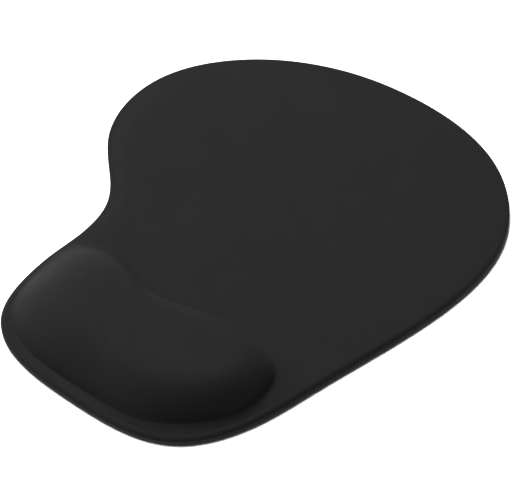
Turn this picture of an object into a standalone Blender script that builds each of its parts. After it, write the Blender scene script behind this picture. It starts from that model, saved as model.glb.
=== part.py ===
"""Mouse mat with a built-in wrist rest, as the laminate it is made from.

Units are metres. The origin is the middle of the footprint on the desk, +Z is up, +Y runs from the hand to the
far edge and +X is to the right. From the desk up the plies are the non-slip base, its adhesive film, the foam
mat, the cloth's adhesive film and the cloth. A pocket in the foam holds the gel pouch that raises the rest.
"""

import bmesh
import bpy
import numpy as np

# Overall sizes of the mat and of its hand part, which the rest stands on.
MAT_WIDTH = 0.193
MAT_LENGTH = 0.230
WRIST_WIDTH = 0.121
WRIST_LENGTH = 0.087
WRIST_OFFSET = 0.0035

# The rest: its rise above the mat, its depth from front to back, and the flat strip left around it.
REST_RISE = 0.0158
REST_DEPTH = 0.0585
FRONT_STRIP = 0.0050
LEFT_STRIP = 0.0038
RIGHT_STRIP = 0.0058

# Thickness of each ply, and the gap that stands for the glue between neighbours.
BASE_THICKNESS = 0.0007
ADHESIVE_THICKNESS = 0.0001
FOAM_THICKNESS = 0.0018
CLOTH_THICKNESS = 0.00045
POUCH_FILM_THICKNESS = 0.00015
LAYER_GAP = 0.00025

# The pressed edge: how far in and how far down the cloth's rounding runs, and the upright hem below it.
EDGE_ROUND_WIDTH = 0.0020
EDGE_ROUND_DROP = 0.0013
HEM_HEIGHT = 0.00065

# The pouch's welded rim, its play in the foam's pocket, and how far hidden films stop short of the mat's edge.
POUCH_RIM_WIDTH = 0.0010
POCKET_PLAY = 0.0003
FILM_SETBACK = 0.0028

# Points along each closed line, steps of each rounding, and the angle past which an edge looks sharp.
MAT_EDGE_POINTS = 84
REST_EDGE_POINTS = 56
SPLINE_SPAN_STEPS = 60
EDGE_ROUND_STEPS = 3
SHARP_ANGLE = np.radians(35.0)
REST_RINGS = (0.05, 0.11, 0.18, 0.27, 0.38, 0.52, 0.70)

# The mat's edge passes through these points. On the hand part, across is a share of half its width from its own
# centre line, and along a share of its length from the front edge.
HAND_EDGE_LEFT = ((-1.02, 1.00), (-0.98, 0.68), (-0.99, 0.33), (-0.92, 0.18))
HAND_EDGE_RIGHT = ((-0.06, 0.00), (0.70, 0.115), (0.95, 0.33), (1.15, 0.70))

# Beyond it, across is a share of half the mat's width, and along a share of the length from the waist to the
# far edge.
MOUSE_EDGE = (
    (0.935, 0.19),
    (0.965, 0.64),
    (0.725, 0.87),
    (0.08, 1.00),
    (-0.19, 0.985),
    (-0.80, 0.77),
    (-0.975, 0.575),
    (-0.89, 0.23),
)

# The foot of the rest follows the mat's edge round the front, up to a share of its depth, and closes behind in
# a line that is hollow towards the mouse. Across is a share of its length, and back is a share of what is left.
REST_FRONT_SHARE = 0.60
REST_FRONT_POINTS = 8
REST_BACK = ((0.98, 0.68), (0.87, 0.95), (0.66, 0.985), (0.38, 0.785), (0.155, 1.00), (0.045, 0.80))

# The rest's rounding. Its top line keeps shares of the foot's length and depth and lies a little to the right of
# and behind the foot's middle.
TOP_LINE_LENGTH_SHARE = 0.50
TOP_LINE_DEPTH_SHARE = 0.22
TOP_LINE_SHIFT = (0.0100, 0.0025)

# Each slope is a power of the way down from the top line. The power depends on the bearing from the rest's
# middle, in degrees: a higher one is steeper at the foot and flatter on top.
SLOPE_BEARINGS = (-180.0, -120.0, -90.0, -60.0, -35.0, -10.0, 20.0, 60.0, 120.0, 180.0)
SLOPE_POWERS = (2.9, 2.7, 2.8, 3.5, 3.9, 3.9, 3.6, 3.1, 2.8, 2.9)

# How far the top falls from its crest to its back, as a share of the rise, and the power of that fall.
TOP_FALL_SHARE = 0.16
TOP_FALL_POWER = 1.5

# Heights of the plies' faces, from the desk up.
BASE_ADHESIVE_BOTTOM = BASE_THICKNESS + LAYER_GAP
FOAM_BOTTOM = BASE_ADHESIVE_BOTTOM + ADHESIVE_THICKNESS + LAYER_GAP
FOAM_TOP = FOAM_BOTTOM + FOAM_THICKNESS
CLOTH_ADHESIVE_TOP = FOAM_TOP + LAYER_GAP + ADHESIVE_THICKNESS
MAT_TOP = CLOTH_ADHESIVE_TOP + LAYER_GAP + CLOTH_THICKNESS
POUCH_BASE_TOP = FOAM_TOP - POUCH_FILM_THICKNESS - LAYER_GAP
POUCH_ADHESIVE_TOP = POUCH_BASE_TOP - POUCH_FILM_THICKNESS - LAYER_GAP
POCKET_FLOOR = POUCH_ADHESIVE_TOP - ADHESIVE_THICKNESS - LAYER_GAP

# Each surface is its linear colour and its roughness.
KNIT_SURFACE = ((0.022, 0.022, 0.023), 0.95)
SPONGE_SURFACE = ((0.016, 0.016, 0.017), 0.90)
GRIP_SURFACE = ((0.012, 0.012, 0.013), 0.70)
ADHESIVE_SURFACE = ((0.60, 0.58, 0.50), 0.50)
FILM_SURFACE = ((0.05, 0.05, 0.055), 0.40)
GEL_SURFACE = ((0.10, 0.16, 0.30), 0.35)


def closed_spline(points, count):
    """Return count evenly spaced points on the smooth closed curve through the given points.

    The curve is a periodic cubic spline over the chord lengths, so its curvature has no jumps.
    """
    here = np.asarray(points, dtype=float)
    total = len(here)
    ahead = np.roll(here, -1, axis=0)
    chord = np.linalg.norm(ahead - here, axis=1)
    rate = (ahead - here) / chord[:, None]
    system = np.zeros((total, total))
    target = np.zeros((total, 2))
    for i in range(total):
        before = chord[i - 1]
        after = chord[i]
        system[i, i - 1] += after
        system[i, i] += 2.0 * (before + after)
        system[i, (i + 1) % total] += before
        target[i] = 3.0 * (after * rate[i - 1] + before * rate[i])
    slope = np.linalg.solve(system, target)
    share = np.linspace(0.0, 1.0, SPLINE_SPAN_STEPS, endpoint=False)[:, None]
    spans = []
    for i in range(total):
        start_slope = slope[i] * chord[i]
        end_slope = slope[(i + 1) % total] * chord[i]
        bend = 3.0 * (ahead[i] - here[i]) - 2.0 * start_slope - end_slope
        twist = 2.0 * (here[i] - ahead[i]) + start_slope + end_slope
        spans.append(here[i] + share * (start_slope + share * (bend + share * twist)))
    dense = np.vstack(spans + [here[:1]])
    travel = np.concatenate(([0.0], np.cumsum(np.linalg.norm(np.diff(dense, axis=0), axis=1))))
    stops = np.linspace(0.0, travel[-1], count, endpoint=False)
    return np.column_stack([np.interp(stops, travel, dense[:, axis]) for axis in (0, 1)])


def inward_normals(line):
    """Return the inward direction at each point of a counter-clockwise closed line."""
    along = np.roll(line, -1, axis=0) - np.roll(line, 1, axis=0)
    along /= np.linalg.norm(along, axis=1)[:, None]
    return np.column_stack((-along[:, 1], along[:, 0]))


def inset(line, distance):
    """Return a counter-clockwise closed line moved inward by distance, or outward where it is negative."""
    return line + inward_normals(line) * distance


def mat_edge():
    """Return the mat's outline, counter-clockwise from its front edge, with its box centred on the origin."""
    mouse_length = MAT_LENGTH - WRIST_LENGTH

    def hand_point(share):
        return (WRIST_OFFSET + share[0] * WRIST_WIDTH / 2, share[1] * WRIST_LENGTH)

    def mouse_point(share):
        return (share[0] * MAT_WIDTH / 2, WRIST_LENGTH + share[1] * mouse_length)

    points = [hand_point(share) for share in HAND_EDGE_RIGHT]
    points += [mouse_point(share) for share in MOUSE_EDGE]
    points += [hand_point(share) for share in HAND_EDGE_LEFT]
    line = closed_spline(points, MAT_EDGE_POINTS)
    return line - (line.min(axis=0) + line.max(axis=0)) / 2


def rest_foot(edge):
    """Return the line where the rest meets the mat, from the centred outline of the mat."""
    inward = inward_normals(edge)
    side_strip = np.where(inward[:, 0] > 0.0, LEFT_STRIP, RIGHT_STRIP)
    strip = FRONT_STRIP * inward[:, 1] ** 2 + side_strip * inward[:, 0] ** 2
    line = np.roll(edge + inward * strip[:, None], len(edge) // 2, axis=0)
    front = edge[:, 1].min() + FRONT_STRIP
    arc = line[line[:, 1] < front + REST_FRONT_SHARE * REST_DEPTH]
    picks = np.linspace(0, len(arc) - 1, REST_FRONT_POINTS).round().astype(int)
    left, right = arc[0], arc[-1]
    span = right[0] - left[0]
    depth_left = front + REST_DEPTH - left[1]
    points = [tuple(arc[pick]) for pick in picks]
    points += [(left[0] + across * span, left[1] + back * depth_left) for across, back in REST_BACK]
    return closed_spline(points, REST_EDGE_POINTS)


def at_height(line, height):
    """Return a flat line as points in space at one height."""
    return np.column_stack((line, np.full(len(line), height)))


def rounded_edge(line, wall_inset, wall_top, flat_top, width):
    """Return the loops of a quarter-round from the side wall in to the flat top."""
    loops = []
    for step in range(EDGE_ROUND_STEPS + 1):
        angle = 0.5 * np.pi * step / EDGE_ROUND_STEPS
        height = wall_top + (flat_top - wall_top) * np.sin(angle)
        loops.append(at_height(inset(line, wall_inset + width * (1.0 - np.cos(angle))), height))
    return loops


def fall_share(line, foot):
    """Return how far towards the back of the rest each point lies, as the share that scales the top's fall."""
    way_back = (line[:, 1] - foot[:, 1].min()) / np.ptp(foot[:, 1])
    return np.clip(way_back, 0.0, 1.0) ** TOP_FALL_POWER


def rest_rings(foot, foot_height, rise):
    """Return the rings of the rest's rounding, each drawn in from the foot towards the top line."""
    middle = (foot.min(axis=0) + foot.max(axis=0)) / 2
    keep = np.array((TOP_LINE_LENGTH_SHARE, TOP_LINE_DEPTH_SHARE))
    shift = np.array(TOP_LINE_SHIFT)
    crest = fall_share(middle + shift + (foot - middle) * keep, foot).min()
    rings = []
    for share in REST_RINGS + (1.0,):
        line = middle + share * shift + (foot - middle) * (1.0 - share * (1.0 - keep))
        arms = line - middle
        bearing = np.degrees(np.arctan2(arms[:, 1], arms[:, 0]))
        power = np.interp(bearing, SLOPE_BEARINGS, SLOPE_POWERS)
        lift = 1.0 - (1.0 - share) ** power
        fall = TOP_FALL_SHARE * (fall_share(line, foot) - crest)
        rings.append(at_height(line, foot_height + rise * lift * (1.0 - fall)))
    return rings


def add_ring(mesh, points):
    """Add a vertex for each point of a closed line."""
    return [mesh.verts.new(point) for point in points]


def add_wall(mesh, ring, loops):
    """Carry the surface from a ring of vertices through each further loop and return the last ring."""
    for points in loops:
        further = add_ring(mesh, points)
        for i in range(len(ring)):
            mesh.faces.new((ring[i - 1], ring[i], further[i], further[i - 1]))
        ring = further
    return ring


def add_cap(mesh, *rings):
    """Fill a ring, or the flat area between an outer and an inner ring, with faces."""
    edges = []
    for ring in rings:
        for i in range(len(ring)):
            ends = (ring[i - 1], ring[i])
            edges.append(mesh.edges.get(ends) or mesh.edges.new(ends))
    bmesh.ops.triangle_fill(mesh, use_beauty=True, edges=edges)


def finish(name, mesh, surface, thickness=None):
    """Turn a mesh into a named object with its own material, and give a sheet its thickness."""
    colour, roughness = surface
    bmesh.ops.recalc_face_normals(mesh, faces=mesh.faces)
    if thickness is None:
        inside_out = mesh.calc_volume(signed=True) < 0.0
    else:
        inside_out = max(mesh.faces, key=lambda face: face.calc_area()).normal.z < 0.0
    if inside_out:
        bmesh.ops.reverse_faces(mesh, faces=mesh.faces)
    data = bpy.data.meshes.new(name)
    mesh.to_mesh(data)
    mesh.free()
    data.shade_smooth()
    data.set_sharp_from_angle(angle=SHARP_ANGLE)
    piece = bpy.data.objects.new(name, data)
    bpy.context.scene.collection.objects.link(piece)
    material = bpy.data.materials.new(name)
    material.use_nodes = True
    shader = material.node_tree.nodes["Principled BSDF"]
    shader.inputs["Base Color"].default_value = (*colour, 1.0)
    shader.inputs["Roughness"].default_value = roughness
    shader.inputs["Metallic"].default_value = 0.0
    data.materials.append(material)
    if thickness is not None:
        wall = piece.modifiers.new("thickness", 'SOLIDIFY')
        wall.thickness = thickness
        wall.offset = -1.0
        wall.use_even_offset = True
        wall.use_quality_normals = True
    return piece


def flat_ply(name, line, bottom, thickness, surface):
    """Build a flat sheet with upright sides."""
    mesh = bmesh.new()
    low = add_ring(mesh, at_height(line, bottom))
    high = add_wall(mesh, low, [at_height(line, bottom + thickness)])
    add_cap(mesh, low)
    add_cap(mesh, high)
    return finish(name, mesh, surface)


def draped_ply(name, rim_loops, foot, flat_height, thickness, surface):
    """Build a thin sheet that lies flat at one height and climbs over the rest inside its foot line."""
    mesh = bmesh.new()
    rim = add_ring(mesh, rim_loops[0])
    rim = add_wall(mesh, rim, rim_loops[1:])
    foot_ring = add_ring(mesh, at_height(foot, flat_height))
    add_cap(mesh, rim, foot_ring)
    top = add_wall(mesh, foot_ring, rest_rings(foot, flat_height, REST_RISE))
    add_cap(mesh, top)
    return finish(name, mesh, surface, thickness)


def foam_mat(edge, pocket):
    """Build the foam sheet: a shoulder for the cloth's hem round its edge, and the pouch's pocket."""
    hem_inset = CLOTH_THICKNESS + LAYER_GAP
    wall_top = MAT_TOP - EDGE_ROUND_DROP
    shoulder = wall_top - HEM_HEIGHT - LAYER_GAP
    mesh = bmesh.new()
    low = add_ring(mesh, at_height(edge, FOAM_BOTTOM))
    loops = [at_height(edge, shoulder), at_height(inset(edge, hem_inset), shoulder)]
    round_start = wall_top - LAYER_GAP
    loops += rounded_edge(edge, hem_inset, round_start, FOAM_TOP, EDGE_ROUND_WIDTH)
    high = add_wall(mesh, low, loops)
    mouth = add_ring(mesh, at_height(pocket, FOAM_TOP))
    floor = add_wall(mesh, mouth, [at_height(pocket, POCKET_FLOOR)])
    add_cap(mesh, low)
    add_cap(mesh, high, mouth)
    add_cap(mesh, floor)
    return finish("mat_foam", mesh, SPONGE_SURFACE)


def gel_filling(foot):
    """Build the gel, flat underneath and rounded like the rest on top."""
    bottom = POUCH_BASE_TOP + LAYER_GAP
    mesh = bmesh.new()
    low = add_ring(mesh, at_height(foot, bottom))
    top = add_wall(mesh, low, rest_rings(foot, bottom, REST_RISE - LAYER_GAP))
    add_cap(mesh, low)
    add_cap(mesh, top)
    return finish("gel_core", mesh, GEL_SURFACE)


def build():
    """Model every ply of the mat and the pouch in its pocket."""
    for old in list(bpy.data.objects):
        bpy.data.objects.remove(old, do_unlink=True)

    edge = mat_edge()
    foot = rest_foot(edge)
    film_edge = inset(edge, FILM_SETBACK)
    film_depth = CLOTH_THICKNESS + LAYER_GAP
    pouch_depth = film_depth + ADHESIVE_THICKNESS + LAYER_GAP
    gel_depth = pouch_depth + POUCH_FILM_THICKNESS + LAYER_GAP
    pouch_rim = inset(foot, pouch_depth - POUCH_RIM_WIDTH)

    flat_ply("non_slip_base", edge, 0.0, BASE_THICKNESS, GRIP_SURFACE)
    flat_ply("base_adhesive_film", film_edge, BASE_ADHESIVE_BOTTOM, ADHESIVE_THICKNESS, ADHESIVE_SURFACE)
    foam_mat(edge, inset(pouch_rim, -POCKET_PLAY))

    sheet_bottom = POUCH_ADHESIVE_TOP - ADHESIVE_THICKNESS
    flat_ply("pouch_adhesive_sheet", pouch_rim, sheet_bottom, ADHESIVE_THICKNESS, ADHESIVE_SURFACE)
    film_bottom = POUCH_BASE_TOP - POUCH_FILM_THICKNESS
    flat_ply("gel_base_film", pouch_rim, film_bottom, POUCH_FILM_THICKNESS, FILM_SURFACE)
    gel_filling(inset(foot, gel_depth))
    pouch_foot = inset(foot, pouch_depth)
    rim_loops = [at_height(pouch_rim, FOAM_TOP)]
    draped_ply("gel_top_film", rim_loops, pouch_foot, FOAM_TOP, POUCH_FILM_THICKNESS, FILM_SURFACE)

    height = CLOTH_ADHESIVE_TOP
    film_foot = inset(foot, film_depth)
    rim_loops = [at_height(film_edge, height)]
    draped_ply("cloth_adhesive_film", rim_loops, film_foot, height, ADHESIVE_THICKNESS, ADHESIVE_SURFACE)

    wall_top = MAT_TOP - EDGE_ROUND_DROP
    rim_loops = [at_height(edge, wall_top - HEM_HEIGHT)]
    rim_loops += rounded_edge(edge, 0.0, wall_top, MAT_TOP, EDGE_ROUND_WIDTH)
    draped_ply("top_cloth", rim_loops, foot, MAT_TOP, CLOTH_THICKNESS, KNIT_SURFACE)


build()
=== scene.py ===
"""Looks of a mouse mat with a built-in wrist rest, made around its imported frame.

Units are metres, +Z is up, +Y runs from the hand to the far edge. Every line that a piece follows is read
from the frame's own nodes, so the cloth, foam, films and gel keep to the laminate that the frame describes.
"""

import logging
import math
from collections.abc import Callable, Sequence
from dataclasses import dataclass, field, replace
from enum import Enum

import bmesh
import bpy
import numpy as np
from bmesh.types import BMEdge, BMesh, BMFace, BMVert
from bpy.types import Material, Node, NodeSocket, NodeTree, Object
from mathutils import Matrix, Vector, kdtree


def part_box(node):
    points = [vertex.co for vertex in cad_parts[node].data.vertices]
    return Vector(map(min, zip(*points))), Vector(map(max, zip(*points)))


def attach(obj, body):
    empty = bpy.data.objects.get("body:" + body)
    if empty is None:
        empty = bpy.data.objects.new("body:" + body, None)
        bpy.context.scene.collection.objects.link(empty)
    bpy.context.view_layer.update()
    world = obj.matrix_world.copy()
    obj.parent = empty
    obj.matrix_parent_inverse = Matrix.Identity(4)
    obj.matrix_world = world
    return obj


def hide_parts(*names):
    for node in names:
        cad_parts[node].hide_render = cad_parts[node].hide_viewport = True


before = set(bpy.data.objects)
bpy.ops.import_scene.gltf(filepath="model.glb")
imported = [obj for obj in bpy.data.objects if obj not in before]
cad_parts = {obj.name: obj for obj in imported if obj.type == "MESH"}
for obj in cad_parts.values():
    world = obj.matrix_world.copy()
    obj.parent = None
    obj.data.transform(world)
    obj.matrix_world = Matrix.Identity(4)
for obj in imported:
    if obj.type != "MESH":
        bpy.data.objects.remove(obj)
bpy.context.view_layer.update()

LOG = logging.getLogger("wrist_rest_mat")
BODY = "root"
MM = 0.001
SAME_POINT = 1e-6
SAME_LEVEL = 0.02 * MM
CREASE_ANGLE = math.radians(35.0)
EDGE_POINTS = 1600
FOOT_POINTS = 1200

# From the underside of the cloth's bond film up to the cloth's outer face: film, glue line and cloth.
BOND_AND_CLOTH = 0.80 * MM


class Slot(Enum):
    """The frame's material slots."""

    KNIT = "stretch_knit"
    FOAM = "sponge_foam"
    GRIP = "grip_base"
    ADHESIVE = "hot_melt_adhesive"
    FILM = "polyurethane_film"
    GEL = "soft_gel"


# ---- Lines and the rounding of the rest ----


@dataclass
class ClosedLine:
    """A smooth closed line in plan, counter-clockwise, held as points an equal length apart.

    Args:
        points: The line's points in plan, one row each.
    """

    points: np.ndarray
    tree: kdtree.KDTree = field(init=False, repr=False)

    def __post_init__(self) -> None:
        """Index the points for distances."""
        self.tree = kdtree.KDTree(len(self.points))
        for index, (x, y) in enumerate(self.points):
            self.tree.insert((x, y, 0.0), index)
        self.tree.balance()

    @classmethod
    def through(cls, corners: np.ndarray, count: int) -> "ClosedLine":
        """Lay a smooth line through the corners of a polygon.

        Args:
            corners: The polygon's corners, about evenly spaced.
            count: How many points the line holds.

        Returns:
            The line, counter-clockwise.
        """
        here, ahead = corners, np.roll(corners, -1, axis=0)
        if np.sum(here[:, 0] * ahead[:, 1] - ahead[:, 0] * here[:, 1]) < 0.0:
            corners = corners[::-1]
        wave = np.fft.fft(corners[:, 0] + 1j * corners[:, 1])
        order = np.fft.fftfreq(len(corners), 1.0 / len(corners)).round().astype(int)
        dense = np.zeros(count, complex)
        dense[order] = wave
        smooth = np.fft.ifft(dense) * count / len(corners)
        return cls(spaced(np.column_stack((smooth.real, smooth.imag)), count))

    def at(self, share: np.ndarray) -> np.ndarray:
        """Return the points at shares of the way round."""
        count = len(self.points)
        where = np.mod(share, 1.0) * count
        low = np.floor(where).astype(int) % count
        part = (where - np.floor(where))[:, None]
        return self.points[low] * (1.0 - part) + self.points[(low + 1) % count] * part

    def inward(self, share: np.ndarray) -> np.ndarray:
        """Return the unit directions into the line at shares of the way round."""
        step = 2.0 / len(self.points)
        along = self.at(share + step) - self.at(share - step)
        along /= np.linalg.norm(along, axis=1)[:, None]
        return np.column_stack((-along[:, 1], along[:, 0]))

    def inset(self, distance: float) -> "ClosedLine":
        """Return the line moved inward by a distance, or outward where it is negative."""
        share = np.arange(len(self.points)) / len(self.points)
        return ClosedLine(spaced(self.points + self.inward(share) * distance, len(self.points)))

    def extreme(self, direction: tuple[float, float]) -> float:
        """Return the share of the way round of the point furthest along a direction."""
        return float(np.argmax(self.points @ np.array(direction))) / len(self.points)

    def nearest(self, points: np.ndarray) -> tuple[np.ndarray, np.ndarray]:
        """Return each point's distance to the line, and the share of the way round of its nearest place."""
        found = [self.tree.find((x, y, 0.0)) for x, y in points]
        distance = np.array([hit[2] for hit in found])
        return distance, np.array([hit[1] for hit in found]) / len(self.points)

    def beside(self, share: np.ndarray, distance: float) -> np.ndarray:
        """Return the places a distance inside the line, or outside it, at shares of the way round."""
        return self.at(share) + self.inward(share) * distance

    @property
    def middle(self) -> np.ndarray:
        """The middle of the line's box."""
        return (self.points.min(axis=0) + self.points.max(axis=0)) / 2


def spaced(points: np.ndarray, count: int) -> np.ndarray:
    """Return count points an equal length apart on a closed polygon."""
    closed = np.vstack((points, points[:1]))
    travel = np.concatenate(([0.0], np.cumsum(np.linalg.norm(np.diff(closed, axis=0), axis=1))))
    stops = np.linspace(0.0, travel[-1], count, endpoint=False)
    return np.column_stack([np.interp(stops, travel, closed[:, axis]) for axis in (0, 1)])


def merged_copy(node: str) -> BMesh:
    """Return a frame node's mesh as a bmesh whose loose triangles are joined."""
    mesh = bmesh.new()
    mesh.from_mesh(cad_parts[node].data)
    bmesh.ops.remove_doubles(mesh, verts=mesh.verts, dist=SAME_POINT)
    return mesh


def open_rim(mesh: BMesh) -> list[BMEdge]:
    """Return a mesh's open edges."""
    return [edge for edge in mesh.edges if len(edge.link_faces) == 1]


def level_lines(node: str, height: float) -> list[np.ndarray]:
    """Return the lines round a node's level face at one height, the longest first.

    Args:
        node: The frame node's name.
        height: The face's height.

    Returns:
        Each line's corners in plan.
    """
    mesh = merged_copy(node)
    others = [f for f in mesh.faces if any(abs(v.co.z - height) >= SAME_LEVEL for v in f.verts)]
    bmesh.ops.delete(mesh, geom=others, context="FACES")
    open_edges = dict.fromkeys(open_rim(mesh))
    lines = []
    while open_edges:
        edge, _ = open_edges.popitem()
        start, here = edge.verts
        line = [here.co.xy]
        while here is not start:
            edge = next(e for e in here.link_edges if e in open_edges)
            del open_edges[edge]
            here = edge.other_vert(here)
            line.append(here.co.xy)
        lines.append(np.array(line))
    mesh.free()
    return sorted(lines, key=lambda line: -np.ptp(line, axis=0).sum())


@dataclass
class RestForm:
    """The rounding of the wrist rest as a height over the mat's flat face.

    The rest's contours are its foot line drawn in towards a shorter top line, each at its own share of the
    way. Its skirt meets the mat in a fillet, which is tight in front and behind its middle, and wide at the
    right end and at the back left corner.

    Args:
        foot: The line where the rest meets the mat.
        rise: Height of its top over the mat.
        keep: Shares of the foot's length and depth that the top line keeps.
        lean: How far the top line lies to the right of and behind the foot's middle.
        powers: Pairs of a bearing from the rest's middle, in degrees, and how steeply the slope leaves the
            foot there, where 1 is a straight slope up to the top line.
        fall: How far the top falls from its crest to its back, as a share of the rise.
        fillets: Pairs of a bearing from the rest's middle, in degrees, and the fillet's height there.
        outer_slope: Fall of the unseen skirt outside the foot, which the fillet blends into.
    """

    foot: ClosedLine
    rise: float
    keep: tuple[float, float] = (0.50, 0.22)
    lean: tuple[float, float] = (10.0 * MM, 2.5 * MM)
    powers: tuple[tuple[float, float], ...] = (
        (-180.0, 2.9), (-120.0, 2.7), (-90.0, 2.8), (-60.0, 3.5), (-35.0, 3.9), (-10.0, 3.9),
        (20.0, 3.6), (60.0, 3.1), (120.0, 2.8), (180.0, 2.9),
    )
    fall: float = 0.16
    fillets: tuple[tuple[float, float], ...] = (
        (-180.0, 2.2 * MM), (-165.0, 0.9 * MM), (-150.0, 0.4 * MM), (-115.0, 0.4 * MM), (-80.0, 1.0 * MM),
        (-60.0, 2.4 * MM), (-30.0, 3.4 * MM), (0.0, 3.2 * MM), (25.0, 2.6 * MM), (60.0, 1.2 * MM),
        (105.0, 0.6 * MM), (125.0, 1.6 * MM), (140.0, 4.0 * MM), (155.0, 5.5 * MM), (168.0, 4.6 * MM),
        (180.0, 2.2 * MM),
    )
    outer_slope: float = 1.3

    # The power of the top's fall, and how often a span of contours is halved to find the one at a point.
    FALL_POWER = 1.5
    HALVINGS = 26

    def __post_init__(self) -> None:
        """Work out the foot's reach at each bearing."""
        arms = self.foot.points - self.foot.middle
        bearing = np.arctan2(arms[:, 1], arms[:, 0])
        order = np.argsort(bearing)
        self.bearings = bearing[order]
        self.reaches = np.linalg.norm(arms[order], axis=1)

    def inside(self, arms: np.ndarray) -> np.ndarray:
        """Return which arms from the rest's middle end inside the foot."""
        bearing = np.arctan2(arms[:, 1], arms[:, 0])
        reach = np.interp(bearing, self.bearings, self.reaches, period=2.0 * math.pi)
        return np.linalg.norm(arms, axis=1) < reach

    def share(self, points: np.ndarray) -> np.ndarray:
        """Return the contour share of each point: 0 at and outside the foot, and 1 on the top line."""
        arms = points - self.foot.middle
        low = np.zeros(len(points))
        high = np.ones(len(points))
        for _ in range(self.HALVINGS):
            tried = ((low + high) / 2)[:, None]
            held = self.inside((arms - tried * self.lean) / (1.0 - tried * (1.0 - np.array(self.keep))))
            low = np.where(held, tried[:, 0], low)
            high = np.where(held, high, tried[:, 0])
        return np.where(self.inside(arms), (low + high) / 2, 0.0)

    def contour(self, share: float, turns: np.ndarray) -> np.ndarray:
        """Return the points of one contour at shares of the way round the foot."""
        arms = self.foot.at(turns) - self.foot.middle
        drawn = arms * (1.0 - share * (1.0 - np.array(self.keep)))
        return self.foot.middle + share * np.array(self.lean) + drawn

    def by_bearing(self, points: np.ndarray, table: tuple[tuple[float, float], ...]) -> np.ndarray:
        """Return a table's value at each point's bearing from the rest's middle."""
        arms = points - self.foot.middle
        stops, values = zip(*table)
        return np.interp(np.degrees(np.arctan2(arms[:, 1], arms[:, 0])), stops, values)

    def inset(self, distance: float) -> "RestForm":
        """Return the form of a ply that lies a distance below this one."""
        return replace(self, foot=self.foot.inset(distance))

    def lift(self, points: np.ndarray) -> np.ndarray:
        """Return the height of the rest without its fillet, which is 0 outside the foot."""
        depth = np.ptp(self.foot.points[:, 1])
        back = (points[:, 1] - self.foot.middle[1]) / depth + 0.5
        crest = self.lean[1] / depth + (1.0 - self.keep[1]) / 2
        ease = np.clip(back, 0.0, 1.0) ** self.FALL_POWER - crest**self.FALL_POWER
        power = self.by_bearing(points, self.powers)
        return self.rise * (1.0 - (1.0 - self.share(points)) ** power) * (1.0 - self.fall * ease)

    def drawn_in(self, points: np.ndarray, reach: float) -> np.ndarray:
        """Return points in plan, those past a share of the way out to the foot drawn back to that share."""
        arms = points - self.foot.middle
        length = np.linalg.norm(arms, axis=1)
        bearing = np.arctan2(arms[:, 1], arms[:, 0])
        most = reach * np.interp(bearing, self.bearings, self.reaches, period=2.0 * math.pi)
        return self.foot.middle + arms * np.minimum(1.0, most / np.maximum(length, SAME_POINT))[:, None]

    def height(self, points: np.ndarray) -> np.ndarray:
        """Return the height over the flat face at each point, with a fillet that fades towards the top."""
        lift = self.lift(points)
        outside = lift <= 0.0
        away = np.zeros(len(points))
        away[outside] = self.foot.nearest(points[outside])[0]
        sharp = np.where(outside, -self.outer_slope * away, lift)
        soft = self.by_bearing(points, self.fillets) * (1.0 - self.share(points))
        return (sharp + np.sqrt(sharp**2 + soft**2)) / 2.0


# ---- The mat's plan: columns that run from the rest's middle out to the mat's edge ----


@dataclass(frozen=True)
class Press:
    """A stretch of the mat's edge where the plies are pressed down towards it.

    Args:
        middle: The stretch's middle in plan.
        reach: How far from there it runs.
        width: How far in from the edge it starts.
        depth: How far down it goes at the edge.
    """

    middle: tuple[float, float]
    reach: float
    width: float
    depth: float


WAIST_PRESS = Press((-75.0 * MM, 15.0 * MM), 65.0 * MM, 8.5 * MM, 1.9 * MM)
FRONT_PRESS = Press((46.0 * MM, -101.0 * MM), 36.0 * MM, 6.0 * MM, 1.7 * MM)


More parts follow.
